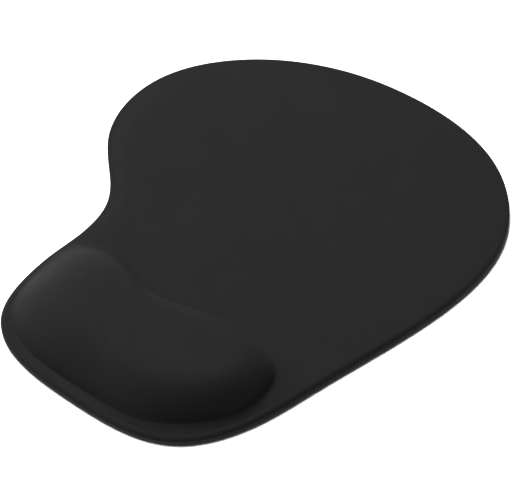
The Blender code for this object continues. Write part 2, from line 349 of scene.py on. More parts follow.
@dataclass
class MatPlan:
    """The mesh plan shared by every ply: a patch in the middle of the rest and rings round it.

    Args:
        edge: The mat's edge.
        form: The rest's rounding.
        flat_top: Height of the cloth's flat face.
        across: Columns along each long side of the patch.
        along: Columns along each short side of the patch.
    """

    edge: ClosedLine
    form: RestForm
    flat_top: float
    across: int = 126
    along: int = 54

    # The contour that bounds the patch, and the directions of its front left corner and of its back corners.
    PATCH_SHARE = 0.6
    FIRST_CORNER = (-0.45, -1.0)
    BACK_CORNER = (1.0, 1.5)

    # Passes that even out the columns' places and bearings, and how far a column runs before it turns.
    EASING = 100
    RAY_EASING = 40
    BEND = 0.6

    # How a press fades at its ends, and how it rounds over from the flat.
    PRESS_END = 4
    PRESS_ROUND = 1.6

    def __post_init__(self) -> None:
        """Match each column's place on the foot with its place on the mat's edge."""
        count = 2 * (self.across + self.along)
        foot = self.form.foot
        start = foot.extreme(self.FIRST_CORNER)
        self.turns = np.mod(start + np.arange(count) / count, 1.0)
        _, near = self.edge.nearest(foot.at(self.turns))
        near = near[0] + np.mod(near - near[0], 1.0)
        side, back = self.BACK_CORNER
        right, left = (int(np.argmax(foot.at(self.turns) @ (way, back))) for way in (side, -side))
        near[right : left + 1] = np.linspace(near[right], near[left], left + 1 - right)
        for _ in range(self.EASING):
            wider = np.concatenate((near[-1:] - 1.0, near, near[:1] + 1.0))
            near = (wider[:-2] + 2.0 * near + wider[2:]) / 4.0
        self.edge_turns = near

    def border(self, inset: float) -> np.ndarray:
        """Return each column's point at a distance inside the mat's edge."""
        return self.edge.beside(self.edge_turns, inset)

    def rounding(
        self, inset: float, width: float, start: np.ndarray, side: np.ndarray | float, steps: int
    ) -> list[np.ndarray]:
        """Return the rings of a quarter round that turns down towards the mat's edge.

        Args:
            inset: How far inside the edge it ends.
            width: Its width.
            start: Height of each column where it starts.
            side: Height where it ends.
            steps: How many rings it has.

        Returns:
            The rings' points in space.
        """
        rings = []
        for angle in 0.5 * math.pi * np.arange(1, steps + 1) / steps:
            line = self.border(inset + width * (1.0 - math.sin(angle)))
            rings.append(lifted(line, side + (start - side) * math.cos(angle)))
        return rings

    def sink(self, points: np.ndarray) -> np.ndarray:
        """Return how far the plies are pressed down at points near the mat's edge."""
        away, turn = self.edge.nearest(points)
        near = self.edge.at(turn)
        depth = np.zeros(len(points))
        for press in (WAIST_PRESS, FRONT_PRESS):
            along = np.exp(-((np.linalg.norm(near - press.middle, axis=1) / press.reach) ** self.PRESS_END))
            share = np.clip(1.0 - away / press.width, 0.0, 1.0)
            depth += press.depth * along * share**self.PRESS_ROUND
        return depth

    def face(self, points: np.ndarray) -> np.ndarray:
        """Return the height of the cloth's outer face at points in plan."""
        return self.flat_top + self.form.height(points) - self.sink(points)

    def foot_line(self, inset: float) -> np.ndarray:
        """Return each column's point at a distance inside the foot, or outside it where it is negative."""
        return self.form.foot.beside(self.turns, inset)

    def rays(self, begin: np.ndarray, end: np.ndarray, steps: int, first: float) -> list[np.ndarray]:
        """Return rings from a line along the foot out to a line along the mat's edge.

        Args:
            begin: Each column's point on the line along the foot.
            end: Each column's point on the line along the edge.
            steps: How many rings there are past the first line.
            first: Width of the first ring where there is room for it.

        Returns:
            The rings' points in plan, from the one after the first line to the last.
        """
        span = np.linalg.norm(end - begin, axis=1)[:, None]
        outward = -self.form.foot.inward(self.turns)
        for _ in range(self.RAY_EASING):
            outward = (np.roll(outward, 1, axis=0) + outward + np.roll(outward, -1, axis=0)) / 3.0
        outward /= np.linalg.norm(outward, axis=1)[:, None]
        bend = begin + outward * span * self.BEND
        power = np.maximum(1.0, np.log(span / first) / math.log(steps))
        rings = []
        for step in range(1, steps + 1):
            share = (step / steps) ** power
            rings.append((1.0 - share) ** 2 * begin + 2.0 * share * (1.0 - share) * bend + share**2 * end)
        return rings

    def contours(self, steps: int, power: float = 1.0) -> list[np.ndarray]:
        """Return level rings from the patch's rim out to the foot.

        Args:
            steps: How many rings there are.
            power: How much closer together the rings near the foot lie, where 1 is evenly.

        Returns:
            The rings' points in space.
        """
        shares = self.PATCH_SHARE * (1.0 - np.arange(1, steps + 1) / steps) ** power
        return [lifted(self.form.contour(share, self.turns), 0.0) for share in shares]

    def start_patch(self) -> BMesh:
        """Return a mesh of the patch in the middle of the rest, with its rim numbered by column."""
        mesh = bmesh.new()
        column = mesh.verts.layers.int.new("column")
        made = bmesh.ops.create_grid(mesh, x_segments=self.across, y_segments=self.along, size=1.0)["verts"]
        rim = self.form.contour(self.PATCH_SHARE, self.turns)
        front = rim[: self.across + 1]
        right = rim[self.across : self.across + self.along + 1]
        back = rim[self.across + self.along : 2 * self.across + self.along + 1][::-1]
        left = np.vstack((rim[2 * self.across + self.along :], rim[:1]))[::-1]
        for vert in made:
            i = round((vert.co.x + 1.0) / 2.0 * self.across)
            j = round((vert.co.y + 1.0) / 2.0 * self.along)
            u, v = i / self.across, j / self.along
            place = (1 - v) * front[i] + v * back[i] + (1 - u) * left[j] + u * right[j]
            place = place - (1 - u) * (1 - v) * front[0] - u * (1 - v) * front[-1]
            place = place - (1 - u) * v * back[0] - u * v * back[-1]
            vert.co = (*place, 0.0)
            vert[column] = self.column_of(i, j)
        return mesh

    def column_of(self, i: int, j: int) -> int:
        """Return the column of a place on the patch's rim, or -1 inside it."""
        if j == 0:
            return i
        if i == self.across:
            return self.across + j
        if j == self.along:
            return 2 * self.across + self.along - i
        if i == 0:
            return 2 * (self.across + self.along) - j
        return -1


def grow(mesh: BMesh, rings: Sequence[np.ndarray]) -> None:
    """Carry the open rim of a mesh through further rings, column by column.

    Args:
        mesh: A mesh with one open rim whose vertices are numbered in its column layer.
        rings: Each ring's points in space, one row a column.
    """
    column = mesh.verts.layers.int["column"]
    rim = open_rim(mesh)
    for ring in rings:
        made = bmesh.ops.extrude_edge_only(mesh, edges=rim)["geom"]
        rim = [part for part in made if isinstance(part, BMEdge)]
        for vert in (part for part in made if isinstance(part, BMVert)):
            vert.co = ring[vert[column]]


def drape(mesh: BMesh, height: Callable[[np.ndarray], np.ndarray]) -> None:
    """Set every vertex of a mesh to the height that its place in plan gives it."""
    points = np.array([vert.co.xy for vert in mesh.verts])
    for vert, level in zip(mesh.verts, height(points)):
        vert.co.z = level


def lifted(points: np.ndarray, height: float | np.ndarray) -> np.ndarray:
    """Return points in plan as points in space at a height, or each at its own."""
    return np.column_stack((points, np.broadcast_to(height, len(points))))


def new_piece(name: str, mesh: BMesh, material: Material) -> Object:
    """Turn a mesh into a smooth piece that rides on the mat, with its faces pointing outward.

    Args:
        name: The piece's name.
        mesh: Its mesh, which is freed.
        material: Its finish.

    Returns:
        The piece, at the origin.
    """
    bmesh.ops.recalc_face_normals(mesh, faces=mesh.faces)
    data = bpy.data.meshes.new(name)
    mesh.to_mesh(data)
    mesh.free()
    data.shade_smooth()
    data.materials.append(material)
    piece = bpy.data.objects.new(name, data)
    bpy.context.scene.collection.objects.link(piece)
    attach(piece, BODY)
    return piece


def add_thickness(piece: Object, thickness: float) -> None:
    """Give a sheet its thickness below its outer face."""
    wall = piece.modifiers.new("thickness", "SOLIDIFY")
    wall.thickness = thickness
    wall.offset = -1.0


def report(piece: Object) -> None:
    """Log a finished piece's name and size."""
    evaluated = piece.evaluated_get(bpy.context.evaluated_depsgraph_get())
    size = ", ".join(f"{1000.0 * side:.1f}" for side in evaluated.dimensions)
    LOG.info("%s: %d faces, %s mm", piece.name, len(evaluated.data.polygons), size)


# ---- Finishes ----


# Most of a noise pattern lies between these values.
NOISE_SPREAD = (0.3, 0.7)


def linear(colour: str) -> tuple[float, float, float, float]:
    """Return an sRGB hex colour as linear red, green, blue and alpha."""
    parts = [int(colour[i : i + 2], 16) / 255.0 for i in (1, 3, 5)]
    return (*(p / 12.92 if p <= 0.04045 else ((p + 0.055) / 1.055) ** 2.4 for p in parts), 1.0)


def feed(node: Node, inputs: dict[str | int, object]) -> None:
    """Set a node's inputs, or link them to what feeds them.

    Args:
        node: The node.
        inputs: For each input its value, the output that feeds it, or the node whose first output does.
    """
    for key, value in inputs.items():
        if isinstance(value, Node):
            value = next(output for output in value.outputs if output.enabled)
        if isinstance(value, NodeSocket):
            node.id_data.links.new(value, node.inputs[key])
        else:
            node.inputs[key].default_value = value


def add_node(
    tree: NodeTree, kind: str, inputs: dict[str | int, object] | None = None, **settings: object
) -> Node:
    """Add a node with its settings and its links.

    Args:
        tree: The material's node tree.
        kind: The node's type, without the word ShaderNode.
        inputs: What feeds its inputs.
        settings: The node's own properties.

    Returns:
        The node.
    """
    node = tree.nodes.new("ShaderNode" + kind)
    for name, value in settings.items():
        setattr(node, name, value)
    feed(node, inputs or {})
    return node


class Finish:
    """A surface finish, whose patterns read the object's own coordinates."""

    name: str

    def inputs(self, tree: NodeTree, place: NodeSocket) -> dict[str, object]:
        """Return the shader's inputs: values, or the nodes that feed them.

        Args:
            tree: The material's node tree.
            place: The output that gives each point's coordinates.

        Returns:
            The inputs by name.
        """
        raise NotImplementedError

    def material(self) -> Material:
        """Return the finish as a new material."""
        material = bpy.data.materials.new(self.name)
        material.use_nodes = True
        tree = material.node_tree
        place = add_node(tree, "TexCoord").outputs["Object"]
        feed(tree.nodes["Principled BSDF"], self.inputs(tree, place))
        return material


@dataclass(frozen=True)
class Blend:
    """Two values of a finish that a pattern runs between.

    Args:
        pattern: The pattern.
        low: The pattern's value at the first of the two.
        high: The pattern's value at the second.
        first: The first, a colour or a number.
        second: The second.
    """

    pattern: Node
    low: float
    high: float
    first: str | float
    second: str | float

    def number(self, tree: NodeTree) -> Node:
        """Return the blend of two numbers."""
        inputs = {"Value": self.pattern, "From Min": self.low, "From Max": self.high}
        return add_node(tree, "MapRange", inputs | {"To Min": self.first, "To Max": self.second}, clamp=True)

    def colour(self, tree: NodeTree) -> Node:
        """Return the blend of two colours."""
        share = replace(self, first=0.0, second=1.0).number(tree)
        inputs = {"Factor": share, "A": linear(self.first), "B": linear(self.second)}
        return add_node(tree, "Mix", inputs, data_type="RGBA")


@dataclass(frozen=True)
class BrushedStretchKnit(Finish):
    """Black polyester and elastane jersey, knitted fine, brushed and heat-pressed.

    Its columns of V-shaped stitches catch light on their backs and keep shadow between them, so the cloth
    reads as a soft dark grey with no gloss, and its raised fibres lighten it where it is seen at a slant.
    The shade between the columns is also painted into the colour, which darkens towards the grooves.

    Args:
        name: The material's name.
        wale: Distance between columns of stitches. A real one is about 0.4 mm; it is drawn coarser to show.
        course: Distance between rows of stitches, drawn coarser to show.
        slant: How many rows a stitch's arms climb for the width of a column.
        swell: Share of a stitch's height that rises and falls along its column.
        groove: How sharply the groove between columns is cut.
        depth: Relief of a stitch.
        fibre: Size of the tufts of raised fibre.
        fibre_height: Their height as a share of a stitch's.
        nap: Size of the patches where the brushing lies differently.
        nap_tone: How much those patches change the tone, as a share of what a stitch does.
        tones: The pattern's values at the painted gap shade's colour and at the yarn's.
        roughness: Lowest and highest roughness.
        yarn: Colour of the yarn's backs.
        painted_gap_shade: Painted shade between the stitches, a darker colour towards the grooves.
    """

    name: str = "brushed_stretch_knit"
    wale: float = 0.62 * MM
    course: float = 0.50 * MM
    slant: float = 1.3
    swell: float = 0.32
    groove: float = 4.0
    depth: float = 0.05 * MM
    fibre: float = 0.385 * MM
    fibre_height: float = 0.45
    nap: float = 18.2 * MM
    nap_tone: float = 0.7
    tones: tuple[float, float] = (0.35, 1.75)
    roughness: tuple[float, float] = (0.86, 0.94)
    yarn: str = "#151516"
    painted_gap_shade: str = "#0b0b0c"

    def stitch(self, tree: NodeTree, place: NodeSocket) -> Node:
        """Return the height of the stitches: V-shaped swells along columns with a groove between them."""
        grid = {0: place, 1: (1.0 / self.wale, 1.0 / self.course, 0.0)}
        cells = add_node(tree, "SeparateXYZ", {0: add_node(tree, "VectorMath", grid, operation="MULTIPLY")})
        column = add_node(tree, "Math", {0: cells.outputs["X"]}, operation="FRACT")
        side = add_node(tree, "Math", {0: column, 1: 0.5}, operation="SUBTRACT")
        arm = add_node(tree, "Math", {0: side}, operation="ABSOLUTE")
        lean = {0: arm, 1: -self.slant, 2: cells.outputs["Y"]}
        row = add_node(tree, "Math", lean, operation="MULTIPLY_ADD")
        turn = add_node(tree, "Math", {0: row, 1: 2.0 * math.pi}, operation="MULTIPLY")
        loop = add_node(tree, "Math", {0: turn}, operation="COSINE")
        rise = {0: loop, 1: self.swell, 2: 1.0 - self.swell}
        swell = add_node(tree, "Math", rise, operation="MULTIPLY_ADD")
        across = add_node(tree, "Math", {0: arm, 1: 2.0}, operation="MULTIPLY")
        groove = add_node(tree, "Math", {0: across, 1: self.groove}, operation="POWER")
        ridge = add_node(tree, "Math", {0: 1.0, 1: groove}, operation="SUBTRACT")
        return add_node(tree, "Math", {0: ridge, 1: swell}, operation="MULTIPLY")

    def inputs(self, tree: NodeTree, place: NodeSocket) -> dict[str, object]:
        """Return the shader's inputs."""
        fuzz = {"Vector": place, "Scale": 1.0 / self.fibre, "Detail": 2.0, "Roughness": 0.7}
        fibre = add_node(tree, "TexNoise", fuzz)
        brushing = {"Vector": place, "Scale": 1.0 / self.nap, "Detail": 3.0, "Roughness": 0.6}
        nap = add_node(tree, "TexNoise", brushing)
        raised = {0: fibre, 1: self.fibre_height, 2: self.stitch(tree, place)}
        relief = add_node(tree, "Math", raised, operation="MULTIPLY_ADD")
        shade = add_node(tree, "Math", {0: nap, 1: self.nap_tone, 2: relief}, operation="MULTIPLY_ADD")
        return {
            # The colour runs from painted shade in the grooves between stitches to the yarn's own colour on
            # their backs.
            "Base Color": Blend(shade, *self.tones, self.painted_gap_shade, self.yarn).colour(tree),
            "Roughness": Blend(nap, *NOISE_SPREAD, *self.roughness).number(tree),
            "Normal": add_node(tree, "Bump", {"Height": relief, "Strength": 0.6, "Distance": self.depth}),
            "Specular IOR Level": 0.12,
            "Sheen Weight": 0.004,
            "Sheen Roughness": 0.6,
        }


@dataclass(frozen=True)
class CutSponge(Finish):
    """Closed-cell rubber sponge, die-cut, so that its side shows fine open pores in a dull near-black.

    Args:
        name: The material's name.
        cell: Size of a cell. A real one is about 0.25 mm; it is drawn coarser to show.
        cloud: Size of the places where cells are denser.
        cloud_tone: How much those places change the tone, as a share of what a cell does.
        tones: The pattern's values at the painted pore shade's colour and at the body's.
        depth: Depth of a cut cell, as it shows.
        body: Colour of the rubber.
        painted_pore_shade: Painted shade inside a cut cell, a darker colour towards the cell's hollow middle.
    """

    name: str = "die_cut_sponge_rubber"
    cell: float = 0.40 * MM
    cloud: float = 4.2 * MM
    cloud_tone: float = 0.35
    tones: tuple[float, float] = (0.25, 0.75)
    depth: float = 0.12 * MM
    body: str = "#242425"
    painted_pore_shade: str = "#101011"

    def inputs(self, tree: NodeTree, place: NodeSocket) -> dict[str, object]:
        """Return the shader's inputs."""
        pores = {"Vector": place, "Scale": 1.0 / self.cell}
        cells = add_node(tree, "TexVoronoi", pores, feature="SMOOTH_F1")
        cloud = add_node(tree, "TexNoise", {"Vector": place, "Scale": 1.0 / self.cloud, "Detail": 2.0})
        mixed = add_node(tree, "Math", {0: cloud, 1: self.cloud_tone, 2: cells}, operation="MULTIPLY_ADD")
        return {
            # The colour darkens towards each cut cell's hollow middle: painted shade.
            "Base Color": Blend(mixed, *self.tones, self.painted_pore_shade, self.body).colour(tree),
            "Normal": add_node(tree, "Bump", {"Height": cells, "Strength": 0.7, "Distance": self.depth}),
            "Roughness": 0.9,
            "Specular IOR Level": 0.3,
        }


@dataclass(frozen=True)
class MouldedGripRubber(Finish):
    """Soft natural rubber pressed against an engraved roller: dull satin, with a fine leathery grain.

    Args:
        name: The material's name.
        grain: Size of the grain.
        depth: Depth of the grain.
        cloud: Size of the patches of bloom.
        tones: The pattern's values at the body's colour and at the bloom's.
        roughness: Lowest and highest roughness.
        body: Colour of the rubber.
        bloom: Paler colour of the wax bloom on it.
    """

    name: str = "roller_pressed_grip_rubber"
    grain: float = 0.35 * MM
    depth: float = 0.03 * MM
    cloud: float = 33.0 * MM
    tones: tuple[float, float] = (0.12, 0.42)
    roughness: tuple[float, float] = (0.5, 0.68)
    body: str = "#1a1a1b"
    bloom: str = "#262627"

    def inputs(self, tree: NodeTree, place: NodeSocket) -> dict[str, object]:
        """Return the shader's inputs."""
        grain = add_node(tree, "TexNoise", {"Vector": place, "Scale": 1.0 / self.grain, "Detail": 3.0})
        wax = {"Vector": place, "Scale": 1.0 / self.cloud, "Detail": 4.0, "Roughness": 0.6}
        bloom = add_node(tree, "TexNoise", wax)
        tone = add_node(tree, "Math", {0: grain, 1: bloom}, operation="MULTIPLY")
        return {
            "Base Color": Blend(tone, *self.tones, self.body, self.bloom).colour(tree),
            "Roughness": Blend(bloom, *NOISE_SPREAD, *self.roughness).number(tree),
            "Normal": add_node(tree, "Bump", {"Height": grain, "Strength": 0.5, "Distance": self.depth}),
        }


@dataclass(frozen=True)
class FilmFinish(Finish):
    """A thin film or filling of clear plastic, hidden inside the mat.

    Args:
        name: The material's name.
        clear: Colour of its thin places.
        dense: Colour of its thick places.
        cloud: Size of its clouding.
        roughness: Lowest and highest roughness.
        transmission: Share of light that passes through.
        ior: Index of refraction.
        relief: Height of its wrinkles or grain.
    """

    name: str
    clear: str
    dense: str
    cloud: float
    roughness: tuple[float, float]
    transmission: float
    ior: float
    relief: float

    def inputs(self, tree: NodeTree, place: NodeSocket) -> dict[str, object]:
        """Return the shader's inputs."""
        clouding = {"Vector": place, "Scale": 1.0 / self.cloud, "Detail": 4.0, "Roughness": 0.55}
        cloud = add_node(tree, "TexNoise", clouding)
        return {
            "Base Color": Blend(cloud, *NOISE_SPREAD, self.clear, self.dense).colour(tree),
            "Roughness": Blend(cloud, *NOISE_SPREAD, *self.roughness).number(tree),
            "Normal": add_node(tree, "Bump", {"Height": cloud, "Strength": 0.4, "Distance": self.relief}),
            "Transmission Weight": self.transmission,
            "IOR": self.ior,
        }


# Ether polyurethane cast as a thin film: clear, slightly hazy and faintly wrinkled, with soft highlights.
POUCH_FILM = FilmFinish(
    "cast_polyurethane_film", "#cfd3d6", "#b4babf", 6.0 * MM, (0.16, 0.30), 0.6, 1.50, 0.05 * MM
)

# Polyester hot-melt web, laid and pressed: milky and dull, with a blotchy spread where it has flowed.
HOT_MELT = FilmFinish(
    "pressed_hot_melt_film", "#cdc8b4", "#b3ad96", 3.0 * MM, (0.42, 0.60), 0.25, 1.48, 0.04 * MM
)

# Plasticised polyurethane gel, poured and cured: a clear blue jelly, wet-skinned, with slow clouds of colour.
POURED_GEL = FilmFinish(
    "poured_polyurethane_gel", "#5d7fae", "#3c5d8e", 14.0 * MM, (0.10, 0.22), 0.35, 1.47, 0.06 * MM
)


# ---- The plies ----


@dataclass
class KnitCover:
    """The cloth: one unbroken sheet over the mat and its rest, pressed down and rounded round its edge.

    Args:
        plan: The mat's mesh plan.
        thickness: The cloth's thickness.
        hem_bottom: Height of the cloth's cut edge on the mat's side.
        drop: How far the pressed edge falls below the flat face.
        shoulder: How far in the edge's rounding starts.
    """

    plan: MatPlan
    thickness: float = 0.45 * MM
    hem_bottom: float = 2.20 * MM
    drop: float = 1.30 * MM
    shoulder: float = 2.2 * MM

    REST_RINGS = 24
    RING_POWER = 1.5
    FLAT_RINGS = 34
    FIRST_RING = 0.5 * MM
    ROUND_STEPS = 10

    def edge_rings(self) -> list[np.ndarray]:
        """Return the rings of the pressed edge, from its rounding down to the cut edge."""
        plan = self.plan
        side = plan.flat_top - self.drop
        start = plan.face(plan.border(self.shoulder))
        rings = plan.rounding(0.0, self.shoulder, start, side, self.ROUND_STEPS)
        for share in (0.5, 1.0):
            rings.append(lifted(plan.border(0.0), side + (self.hem_bottom - side) * share))
        return rings

    def surface(self) -> BMesh:
        """Return the cloth's outer face."""
        plan = self.plan
        mesh = plan.start_patch()
        begin, end = plan.foot_line(0.0), plan.border(self.shoulder)
        rays = plan.rays(begin, end, self.FLAT_RINGS, self.FIRST_RING)
        grow(mesh, plan.contours(self.REST_RINGS, self.RING_POWER) + [lifted(ring, 0.0) for ring in rays])
        drape(mesh, plan.face)
        grow(mesh, self.edge_rings())
        return mesh

    def build(self) -> Object:
        piece = new_piece("knit_cover", self.surface(), BrushedStretchKnit().material())
        add_thickness(piece, self.thickness)
        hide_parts("top_cloth")
        return piece


@dataclass
class DrapedFilm:
    """A thin film under the cloth, which climbs over the rest as the cloth does.

    Args:
        plan: The mat's mesh plan.
        depth: How far its upper face lies below the cloth's.
        thickness: The film's thickness.
    """

    plan: MatPlan
    depth: float
    thickness: float

    REST_RINGS = 14
    RING_POWER = 1.5
    FLAT_RINGS = 16
    FIRST_RING = 0.8 * MM

    def sheet(self, end: np.ndarray | None) -> BMesh:
        """Return the film's upper face.

        Args:
            end: Each column's point on the film's own edge, or None where the film ends at the rest's foot.

        Returns:
            The face as a mesh, which has the cloth's fillet along the foot only where it runs on past it.
        """
        form = self.plan.form.inset(self.depth)
        plan = replace(self.plan, form=form)
        mesh = plan.start_patch()
        rings = plan.contours(self.REST_RINGS, self.RING_POWER)
        if end is not None:
            rays = plan.rays(form.foot.at(plan.turns), end, self.FLAT_RINGS, self.FIRST_RING)
            rings += [lifted(ring, 0.0) for ring in rays]
        grow(mesh, rings)
        flat = plan.flat_top - self.depth
        if end is None:
            drape(mesh, lambda points: flat + form.lift(points))
        else:
            drape(mesh, lambda points: plan.face(points) - self.depth)
        return mesh


@dataclass
class ClothBond(DrapedFilm):
    """The hot-melt film that bonds the cloth to the foam and to the pouch."""

    depth: float = 0.70 * MM
    thickness: float = 0.10 * MM
    setback: float = 2.8 * MM

    def build(self) -> Object:
        """Build the film."""
        mesh = self.sheet(self.plan.border(self.setback))
        piece = new_piece("cloth_bond_film", mesh, HOT_MELT.material())
        add_thickness(piece, self.thickness)
        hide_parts("cloth_adhesive_film")
        return piece


@dataclass
class PouchSkin(DrapedFilm):
    """The pouch's upper film, welded to its base film along a narrow flat rim."""

    depth: float = 1.05 * MM
    thickness: float = 0.15 * MM
    rim: float = 1.0 * MM

    def build(self) -> Object:
        """Build the film."""
        mesh = self.sheet(None)
        rim = [self.plan.foot_line(self.depth - self.rim * share) for share in (0.5, 1.0)]
        grow(mesh, [lifted(ring, self.plan.flat_top - self.depth) for ring in rim])
        piece = new_piece("pouch_top_film", mesh, POUCH_FILM.material())
        add_thickness(piece, self.thickness)
        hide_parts("gel_top_film")
        return piece


@dataclass
class GelPad:
    """The gel filling: a soft pad that swells in its pouch until the films hold it.

    Args:
        plan: The mat's mesh plan.
        floor: Height of its flat underside.
        depth: How far its top lies below the cloth's upper face.
        slack: How much smaller than its room it starts, which is also the most that a point may move.
        voxel: Size of the mesh that swells.
        pressure: Pressure of the filling.
        frames: Steps of the swelling.
    """

    plan: MatPlan
    floor: float
    depth: float = 1.45 * MM
    slack: float = 1.6 * MM
    voxel: float = 2.6 * MM
    pressure: float = 4.0
    frames: int = 20

    REST_RINGS = 10
    QUALITY = 5
    REACH = 0.99

    def blank(self) -> Object:
        """Return the pad before it swells, remeshed in even cells."""
        form = self.plan.form.inset(self.depth + self.slack)
        plan = replace(self.plan, form=form)
        mesh = plan.start_patch()
        grow(mesh, plan.contours(self.REST_RINGS))
        start = self.floor + self.slack / 2
        drape(mesh, lambda points: start + (form.rise - self.slack) / form.rise * form.lift(points))
        bmesh.ops.contextual_create(mesh, geom=open_rim(mesh))
        piece = new_piece("gel_pad", mesh, POURED_GEL.material())
        remesh = piece.modifiers.new("cells", "REMESH")
        remesh.mode = "VOXEL"
        remesh.voxel_size = self.voxel
        remesh.use_smooth_shade = True
        self.apply(piece)
        return piece

    def apply(self, piece: Object) -> None:
        """Make what the piece's modifiers show its own mesh, and drop them."""
        graph = bpy.context.evaluated_depsgraph_get()
        finish = piece.data.materials[0]
        data = bpy.data.meshes.new_from_object(piece.evaluated_get(graph))
        piece.modifiers.clear()
        piece.data = data
        data.materials.clear()
        data.materials.append(finish)

    def swell(self, piece: Object) -> None:
        """Let the filling's pressure round the pad, with no gravity and with each point's move capped."""
        before = self.points(piece)
        cloth = piece.modifiers.new("swelling", "CLOTH")
        cloth.settings.use_pressure = True
        cloth.settings.uniform_pressure_force = self.pressure
        cloth.settings.effector_weights.gravity = 0.0
        cloth.settings.quality = self.QUALITY
        cloth.point_cache.frame_start = 1
        cloth.point_cache.frame_end = self.frames
        scene = bpy.context.scene
        for step in range(1, self.frames + 1):
            scene.frame_set(step)
        self.apply(piece)
        scene.frame_set(1)
        move = self.points(piece) - before
        length = np.linalg.norm(move, axis=1)
        move *= np.minimum(1.0, self.slack / np.maximum(length, SAME_POINT))[:, None]
        self.place(piece, before + move)

    def points(self, piece: Object) -> np.ndarray:
        """Return the piece's vertices."""
        found = np.empty(3 * len(piece.data.vertices))
        piece.data.vertices.foreach_get("co", found)
        return found.reshape(-1, 3)

    def place(self, piece: Object, points: np.ndarray) -> None:
        """Set the piece's vertices."""
        piece.data.vertices.foreach_set("co", points.ravel())
        piece.data.update()

    def settle(self, piece: Object) -> None:
        """Hold the pad inside the pouch: on the base film, and under the top film."""
        form = self.plan.form.inset(self.depth)
        points = self.points(piece)
        plan = form.drawn_in(points[:, :2], self.REACH)
        top = self.plan.flat_top - self.depth + form.lift(plan)
        height = np.clip(points[:, 2], self.floor, np.maximum(top, self.floor))
        self.place(piece, np.column_stack((plan, height)))

    def build(self) -> Object:
        piece = self.blank()
        self.swell(piece)
        self.settle(piece)
        piece.data.shade_smooth()
        smooth = piece.modifiers.new("smooth", "SUBSURF")
        smooth.levels = 1
        smooth.render_levels = 1
        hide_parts("gel_core")
        return piece


@dataclass
class SpongeMat:
    """The foam sheet, with a pocket for the pouch, a shoulder for the hem and a lip round its underside.

    Args:
        plan: The mat's mesh plan.
        bottom: Height of its underside.
        top: Height of its flat top.
        lip_bottom: Height of the lip's underside, just over the base.
        lip_width: Width of the lip.
        pocket_floor: Height of the pocket's floor.
        pocket_play: How far the pocket's wall stands outside the rest's foot.
        hem_inset: How far in the wall behind the cloth's hem stands.
        hem_shoulder: Height of the shoulder under the hem.
        round_start: Height where the upper edge starts to round.
        round_width: Width of that rounding.
        bulge: How far the cut side swells outward between its edges.
    """

    plan: MatPlan
    bottom: float
    top: float
    lip_bottom: float = 0.82 * MM
    lip_width: float = 2.4 * MM
    pocket_floor: float = 1.95 * MM
    pocket_play: float = 0.25 * MM
    hem_inset: float = 0.70 * MM
    hem_shoulder: float = 1.95 * MM
    round_start: float = 2.60 * MM
    round_width: float = 2.0 * MM
    bulge: float = 0.10 * MM

    REST_RINGS = 5
    FLAT_RINGS = 14
    FIRST_RING = 0.8 * MM
    BASE_RINGS = 8
    FIRST_BASE_RING = 2.0 * MM
    ROUND_STEPS = 6
    ROUND_LEAST = 0.1 * MM

    def pocket(self) -> BMesh:
        """Return a mesh of the pocket's floor and its wall."""
        plan = self.plan
        mesh = plan.start_patch()
        wall = plan.foot_line(-self.pocket_play)
        grow(mesh, plan.contours(self.REST_RINGS) + [lifted(wall, 0.0)])
        bmesh.ops.translate(mesh, verts=mesh.verts, vec=(0.0, 0.0, self.pocket_floor))
        grow(mesh, [lifted(wall, self.top)])
        return mesh

    def rings(self) -> list[np.ndarray]:
        """Return the rings from the pocket's mouth round the outside to the underside of the lip."""
        plan = self.plan
        inner = self.hem_inset + self.round_width
        mouth = plan.foot_line(-self.pocket_play)
        flat = plan.rays(mouth, plan.border(inner), self.FLAT_RINGS, self.FIRST_RING)
        rings = [lifted(ring, self.top - plan.sink(ring)) for ring in flat]
        start = rings[-1][:, 2]
        side = np.minimum(self.round_start, start - self.ROUND_LEAST)
        rings += plan.rounding(self.hem_inset, self.round_width, start, side, self.ROUND_STEPS)
        rings.append(lifted(plan.border(self.hem_inset), self.hem_shoulder))
        for share in np.linspace(0.0, 1.0, self.ROUND_STEPS + 1):
            height = self.hem_shoulder + (self.lip_bottom - self.hem_shoulder) * share
            rings.append(lifted(plan.border(-self.bulge * math.sin(math.pi * share)), height))
        rings.append(lifted(plan.border(self.lip_width), self.lip_bottom))
        rings.append(lifted(plan.border(self.lip_width), self.bottom))
        end = plan.border(self.lip_width)
        back = plan.rays(plan.foot_line(0.0), end, self.BASE_RINGS, self.FIRST_BASE_RING)[::-1]
        rings += [lifted(ring, self.bottom) for ring in back[1:]]
        return rings

    def build(self) -> Object:
        """Build the foam sheet."""
        mesh = self.pocket()
        grow(mesh, self.rings())
        bmesh.ops.contextual_create(mesh, geom=open_rim(mesh))
        piece = new_piece("sponge_mat", mesh, CutSponge().material())
        piece.data.set_sharp_from_angle(angle=CREASE_ANGLE)
        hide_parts("mat_foam")
        return piece


